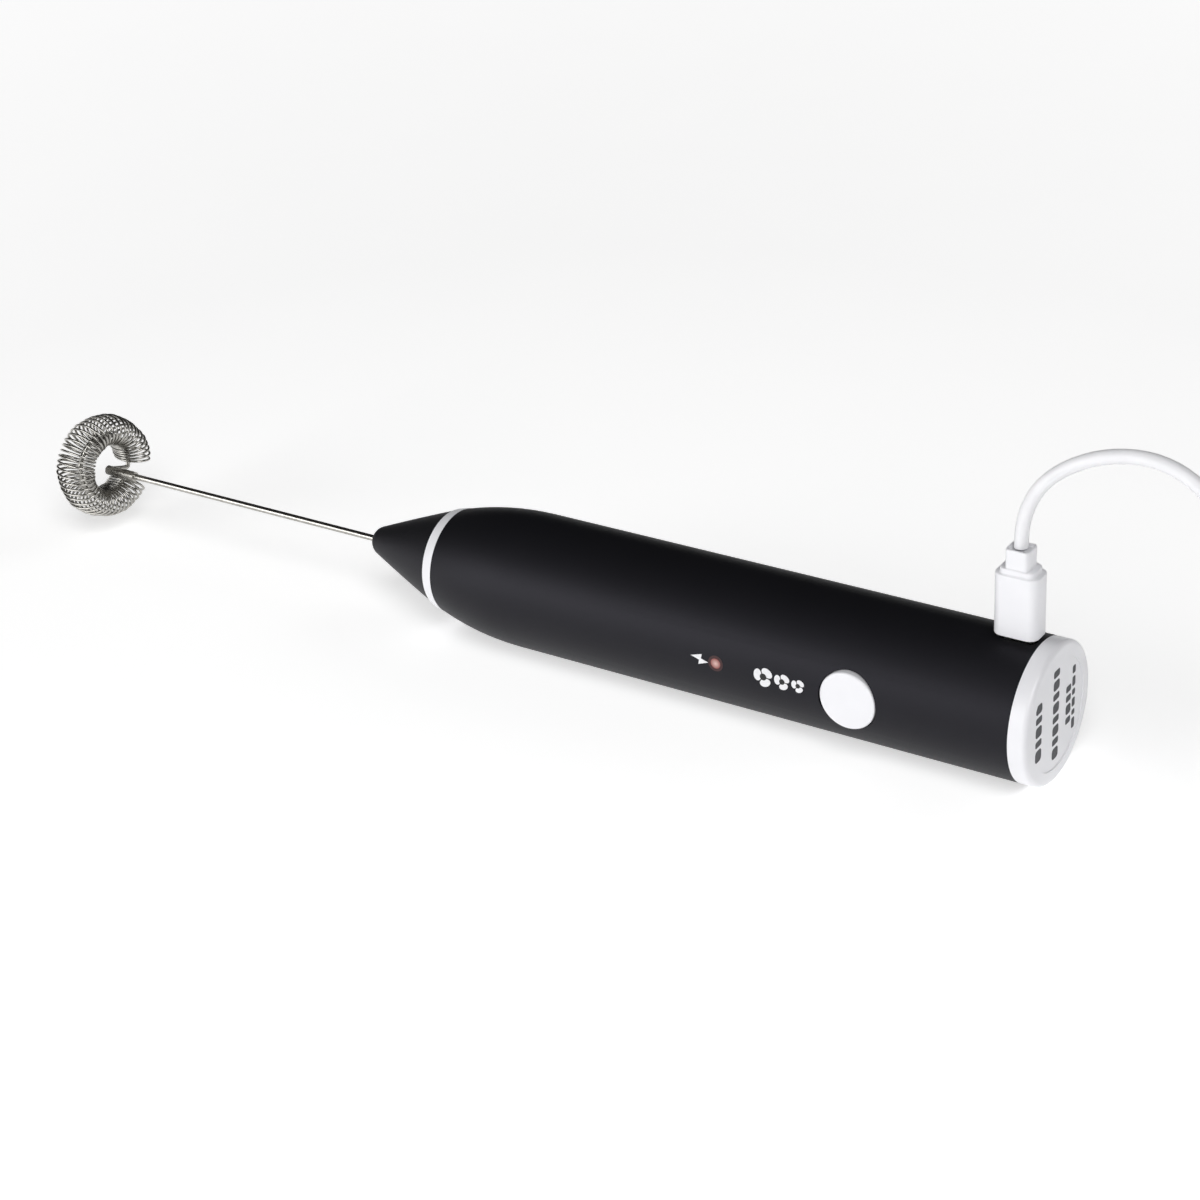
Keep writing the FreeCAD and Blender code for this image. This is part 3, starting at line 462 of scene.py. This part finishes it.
CAP_FACE_X = 132.75
BAR_GAP = 0.75
BAR_DEPTH = 0.05
BAR_RISE = 0.005         # from the face to the middle of a bar's depth
BAR_ROUNDING = 0.3       # corner radius as a share of a bar's short side
CAP_PRINT = [            # place across the cap, lowest end, bar width, bar lengths
    (-8.8, -6.6, 2.8, (2.8, 1.5, 2.4, 1.5, 2.1)),
    (-0.7, -10.1, 2.8, (2.6, 1.5, 2.2, 1.5, 2.3, 1.5, 2.2, 1.65)),
    (5.3, -4.9, 2.3, (1.5, 2.2, 1.45, 1.5)),
    (7.8, -7.2, 1.4, (2.4, 1.2, 2.0, 1.35, 2.2, 1.8)),
]
print_shape = bmesh.new()
for across, start, width, lengths in CAP_PRINT:
    for length in lengths:
        middle = (CAP_FACE_X + BAR_RISE, across, AXIS_Z + start + length / 2)
        size = Matrix.Diagonal((BAR_DEPTH * MM, width * MM, length * MM, 1))
        there = Matrix.Translation(Vector(middle) * MM) @ size
        bar = bmesh.ops.create_cube(print_shape, size=1, matrix=there)
        corners = [e for e in print_shape.edges
                   if e.verts[0] in bar["verts"]
                   and abs((e.verts[0].co - e.verts[1].co).x) > 0.8 * BAR_DEPTH * MM]
        bmesh.ops.bevel(print_shape, geom=corners, offset=BAR_ROUNDING * min(width, length) * MM,
                        segments=5, profile=0.5, affect="EDGES", material=-1)
        start += length + BAR_GAP
cap_print = finished("cap_print", print_shape, grey_ink, smooth=False)
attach(cap_print, "handle")

# ---------------------------------------------------------------- charging light
# A clear acrylic rod whose end shows in the handle's side, reddened by the lit diode behind it.
# lit clear acrylic: a pale, warm middle that falls off to dull red at the rim
lit_acrylic, shader = surface("lit clear acrylic", {
    "IOR": 1.49, "Emission Strength": 0.12, "Roughness": 0.3})
light_low, light_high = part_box("light_pipe")
light_x = (light_low.x + light_high.x) / 2
light_z = (light_low.z + light_high.z) / 2
GLOW_R = 1.25
place = add_node(lit_acrylic, "ShaderNodeTexCoord")
centred = add_node(lit_acrylic, "ShaderNodeMapping",
                   {"Location": (-light_x, 0, -light_z), "Scale": (1, 0, 1)},
                   {"Vector": (place, "Object")})
reach = add_node(lit_acrylic, "ShaderNodeVectorMath", {}, {0: (centred, "Vector")}, operation="LENGTH")
fade = add_node(lit_acrylic, "ShaderNodeMapRange", {"From Min": 0.0, "From Max": GLOW_R * MM},
                {"Value": (reach, "Value")})
glow = add_node(lit_acrylic, "ShaderNodeMix", {6: linear("#c9aaa2"), 7: linear("#7c3330")},
                {0: (fade, "Result")}, data_type="RGBA")
lit_acrylic.node_tree.links.new(glow.outputs[2], shader.inputs["Base Color"])
lit_acrylic.node_tree.links.new(glow.outputs[2], shader.inputs["Emission Color"])
paint(["light_pipe", "status_led"], lit_acrylic)

# the coat is thin round the rod, so the diode's red shows through it in a faint ring
HALO_R = 1.8
HALO_HOLE = 1.2
red_halo, shader = surface("thin soft-touch coat lit from behind", {"IOR": 1.5, "Emission Strength": 0.08})
mottle(red_halo, shader, "#2c1012", "#3a1416", 0.8)
grain(red_halo, shader, 0.35, 0.008, 0.42, 0.54)
red_halo.node_tree.links.new(
    shader.inputs["Base Color"].links[0].from_socket, shader.inputs["Emission Color"])
halo_shape = bmesh.new()
bmesh.ops.create_circle(halo_shape, cap_ends=True, segments=40, radius=HALO_R * MM)
bmesh.ops.inset_individual(halo_shape, faces=halo_shape.faces[:], thickness=(HALO_R - HALO_HOLE) * MM)
middle_face = min(halo_shape.faces, key=lambda f: f.calc_center_median().length)
bmesh.ops.delete(halo_shape, geom=[middle_face], context="FACES")
wrapped("light_halo", halo_shape, light_x / MM, light_z / MM - AXIS_Z, red_halo)

# ---------------------------------------------------------------- whisk
# Drawn stainless steel wire: a straight shaft, a crimped sleeve, a hoop with one spoke, and a
# close spring wound on the hoop. Hoop and spring lean together, the spoke towards the handle.
# drawn wire: drifts between darker and brighter grey, with fine lines along the shaft
steel_wire, shader = surface("drawn stainless steel wire", {"Metallic": 1.0})
mottle(steel_wire, shader, "#8f8d88", "#c9c7c2", 1.2)
grain(steel_wire, shader, 0.25, 0.004, 0.14, 0.30, stretch=(0.2, 1, 1))
paint(["whisk_shaft", "whisk_collar"], steel_wire)

HUB = Vector((-126.18, 0.0, AXIS_Z))
SPOKE_TURN = math.radians(-26.0)
lean_axis = Vector((0, math.cos(SPOKE_TURN + math.pi / 2), math.sin(SPOKE_TURN + math.pi / 2)))


def on_whisk(along, radius, around, lean_degrees):
    """Point at a station, radius and angle about the hub; it rises with its radius, up to the hoop."""
    flat = Vector((along, radius * math.cos(around), radius * math.sin(around)))
    rise = Vector((0, 0, HOOP_RISE * min(1.0, radius / HOOP_R)))
    return HUB + rise + Matrix.Rotation(math.radians(-lean_degrees), 3, lean_axis) @ flat


WHISK_LEAN = 6.5
HOOP_RISE = 1.0
HOOP_R = 7.8
HOOP_WIRE = 1.2
HOOP_GAP = math.radians(20.0)
HOOP_POINTS = 40
HOOP_START = 0.03        # radians from the spoke to the hoop's first point
SPOKE_SHORT = 1.3        # the spoke's last point is this far inside the hoop
hoop_path = [on_whisk(2.0, 0, 0, 0)]
hoop_path += [on_whisk(0, radius, SPOKE_TURN, WHISK_LEAN) for radius in (0.0, 3.0, HOOP_R - SPOKE_SHORT)]
for step in range(HOOP_POINTS + 1):
    angle = SPOKE_TURN + HOOP_START + (math.tau - HOOP_GAP) * step / HOOP_POINTS
    hoop_path.append(on_whisk(0, HOOP_R, angle, WHISK_LEAN))
whisk_hoop = soft_line("whisk_hoop_wire", hoop_path, HOOP_WIRE, steel_wire)
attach(whisk_hoop, "whisk")
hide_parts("whisk_hoop")

SPRING_R = 9.2
SPRING_HALF_R, SPRING_HALF_X = 3.75, 5.8
SPRING_WIRE = 0.6
SPRING_TURNS = 45
SPRING_OPEN = math.radians(34.0)
STEPS_PER_LOOP = 10
SPLINE_SLACK = 1.05      # the spline runs inside its points by this share
spring_path = []
for step in range(SPRING_TURNS * STEPS_PER_LOOP + 1):
    share = step / (SPRING_TURNS * STEPS_PER_LOOP)
    around = SPOKE_TURN + SPRING_OPEN / 2 + (math.tau - SPRING_OPEN) * share
    loop = math.tau * step / STEPS_PER_LOOP
    # no turn is quite like the next in a hand-threaded spring
    uneven = 0.10 * math.sin(7 * around) + 0.06 * math.sin(17 * around + 1.0) - SPRING_WIRE / 2
    along = (SPRING_HALF_X + uneven) * SPLINE_SLACK * math.sin(loop)
    out = (SPRING_HALF_R + uneven) * SPLINE_SLACK * math.cos(loop)
    spring_path.append(on_whisk(along, SPRING_R + out, around, WHISK_LEAN))
whisk_spring = soft_line("whisk_spring", spring_path, SPRING_WIRE, steel_wire)
whisk_spring.data.bevel_resolution = 2
whisk_spring.data.resolution_u = 3
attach(whisk_spring, "whisk")
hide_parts("whisk_coil")


# ---------------------------------------------------------------- motor, board and cell
# Everything inside the handle keeps its CAD shape; each finish is that of the real part.
def finish_for(name, low, high, patch_mm, speck_mm, height_mm, rough, names, **values):
    """One material with its mottle and grain, given to the CAD nodes that share it."""
    sockets = {key.replace("_", " "): value for key, value in values.items()}
    material, shader = surface(name, sockets)
    mottle(material, shader, low, high, patch_mm)
    grain(material, shader, speck_mm, height_mm, rough[0], rough[1])
    paint(names, material)


# zinc plate: cool grey, soft gloss
finish_for("zinc-plated steel", "#8f9396", "#a9adb0", 2.0, 0.3, 0.004, (0.28, 0.42),
           ["motor_can", "motor_screws", "board_screws", "motor_shaft"], Metallic=1.0)
# varnished laminations: dark grey, slightly dull
finish_for("varnished steel laminations", "#4d5054", "#5d6064", 1.5, 0.35, 0.01, (0.40, 0.55),
           ["armature_core"], Metallic=1.0)
# uncoloured nylon: creamy, a little translucent
finish_for("natural nylon", "#dcd6c6", "#e8e3d6", 4.0, 0.5, 0.006, (0.40, 0.52),
           ["motor_end_bell", "drive_coupling"], IOR=1.53, Subsurface_Weight=0.1)
# sintered ferrite: charcoal and gritty
finish_for("sintered ferrite", "#2c2c2e", "#38383a", 1.0, 0.2, 0.02, (0.60, 0.80),
           ["motor_magnets"], IOR=2.0)
# sintered bronze: warm brown metal, finely pitted
finish_for("sintered bronze", "#9a7443", "#b98c53", 0.8, 0.2, 0.015, (0.35, 0.55),
           ["motor_front_bush", "motor_rear_bush"], Metallic=1.0)
# enamelled copper: glossy and reddish, finely uneven
finish_for("enamelled copper", "#a8552a", "#c8713d", 0.6, 0.2, 0.03, (0.22, 0.36),
           ["armature_windings", "commutator", "motor_brushes"], Metallic=1.0)
# moulded black ABS: plain dark satin
finish_for("moulded black ABS", "#26262a", "#303034", 5.0, 0.4, 0.01, (0.45, 0.60),
           ["motor_mount", "inner_frame"], IOR=1.53)
# moulded nitrile rubber: matt near-black
finish_for("moulded nitrile rubber", "#151516", "#1d1d1f", 1.5, 0.25, 0.01, (0.55, 0.75),
           ["nose_seal"], IOR=1.5)
# shrunk plastic film: smooth blue gloss
finish_for("shrunk film sleeve", "#1f4f8c", "#275b9c", 6.0, 0.8, 0.006, (0.22, 0.34),
           ["battery_cell"], IOR=1.54)
# closed-cell foam: dark and pitted, no gloss
finish_for("closed-cell foam", "#2f2f31", "#3d3d40", 0.8, 0.4, 0.08, (0.85, 0.98),
           ["battery_pad"], IOR=1.4)
# glass-epoxy laminate: green lacquer, soft gloss
finish_for("glass-epoxy laminate", "#0f4a2b", "#166038", 2.5, 0.25, 0.006, (0.25, 0.40),
           ["circuit_board"], IOR=1.55)
# moulded epoxy: even near-black, half matt
finish_for("moulded epoxy", "#17171a", "#202024", 1.2, 0.2, 0.008, (0.45, 0.62),
           ["board_chips", "tact_switch", "switch_plunger", "usb_socket_tongue"], IOR=1.55)
# extruded PVC: plain red, soft gloss
finish_for("red PVC insulation", "#96150f", "#b21f17", 2.0, 0.3, 0.004, (0.30, 0.42),
           ["motor_wires"], IOR=1.52)

# ---------------------------------------------------------------- floor and light
# A plain white floor, lit by two wide soft boxes in front and a weaker one behind.
floor_shape = bmesh.new()
bmesh.ops.create_grid(floor_shape, x_segments=1, y_segments=1, size=20.0)
# matt white paper: flat white, no gloss
white_paper, shader = surface("matt white paper", {
    "Roughness": 0.9, "Specular IOR Level": 0.1, "Emission Color": linear("#ffffff")})
mottle(white_paper, shader, "#f2f2f2", "#f5f5f5", 40.0)
# the paper glows more away from the object, so that it stays white where the lights fall off
place = add_node(white_paper, "ShaderNodeTexCoord")
distance = add_node(white_paper, "ShaderNodeVectorMath", {}, {0: (place, "Object")}, operation="LENGTH")
glow = add_node(white_paper, "ShaderNodeMapRange",
                {"From Min": 0.25, "From Max": 1.4, "To Min": 0.52, "To Max": 0.95},
                {"Value": (distance, "Value")})
white_paper.node_tree.links.new(glow.outputs["Result"], shader.inputs["Emission Strength"])
floor = finished("floor", floor_shape, white_paper, smooth=False)

world = bpy.data.worlds.new("studio")
world.use_nodes = True
world.node_tree.nodes["Background"].inputs["Color"].default_value = linear("#ffffff")
world.node_tree.nodes["Background"].inputs["Strength"].default_value = 0.03
bpy.context.scene.world = world


def soft_box(name, place, aim, width, height, power):
    """A rectangular area light at a place, turned to a point; metres and watts."""
    data = bpy.data.lights.new(name, "AREA")
    data.shape = "RECTANGLE"
    data.size = width
    data.size_y = height
    data.energy = power
    made = bpy.data.objects.new(name, data)
    made.location = place
    made.rotation_mode = "QUATERNION"
    made.rotation_quaternion = (Vector(aim) - Vector(place)).to_track_quat("-Z", "Y")
    bpy.context.scene.collection.objects.link(made)


soft_box("front_box", (-0.9, -1.35, 0.42), (0, 0, 0.05), 1.3, 0.85, 14.0)
soft_box("key_box", (0.75, -0.9, 1.35), (0, 0, 0.02), 1.1, 1.1, 16.0)
soft_box("back_box", (0.9, 1.2, 1.1), (0, 0.2, 0.02), 1.2, 0.8, 3.0)
bpy.context.scene.view_settings.view_transform = "Standard"
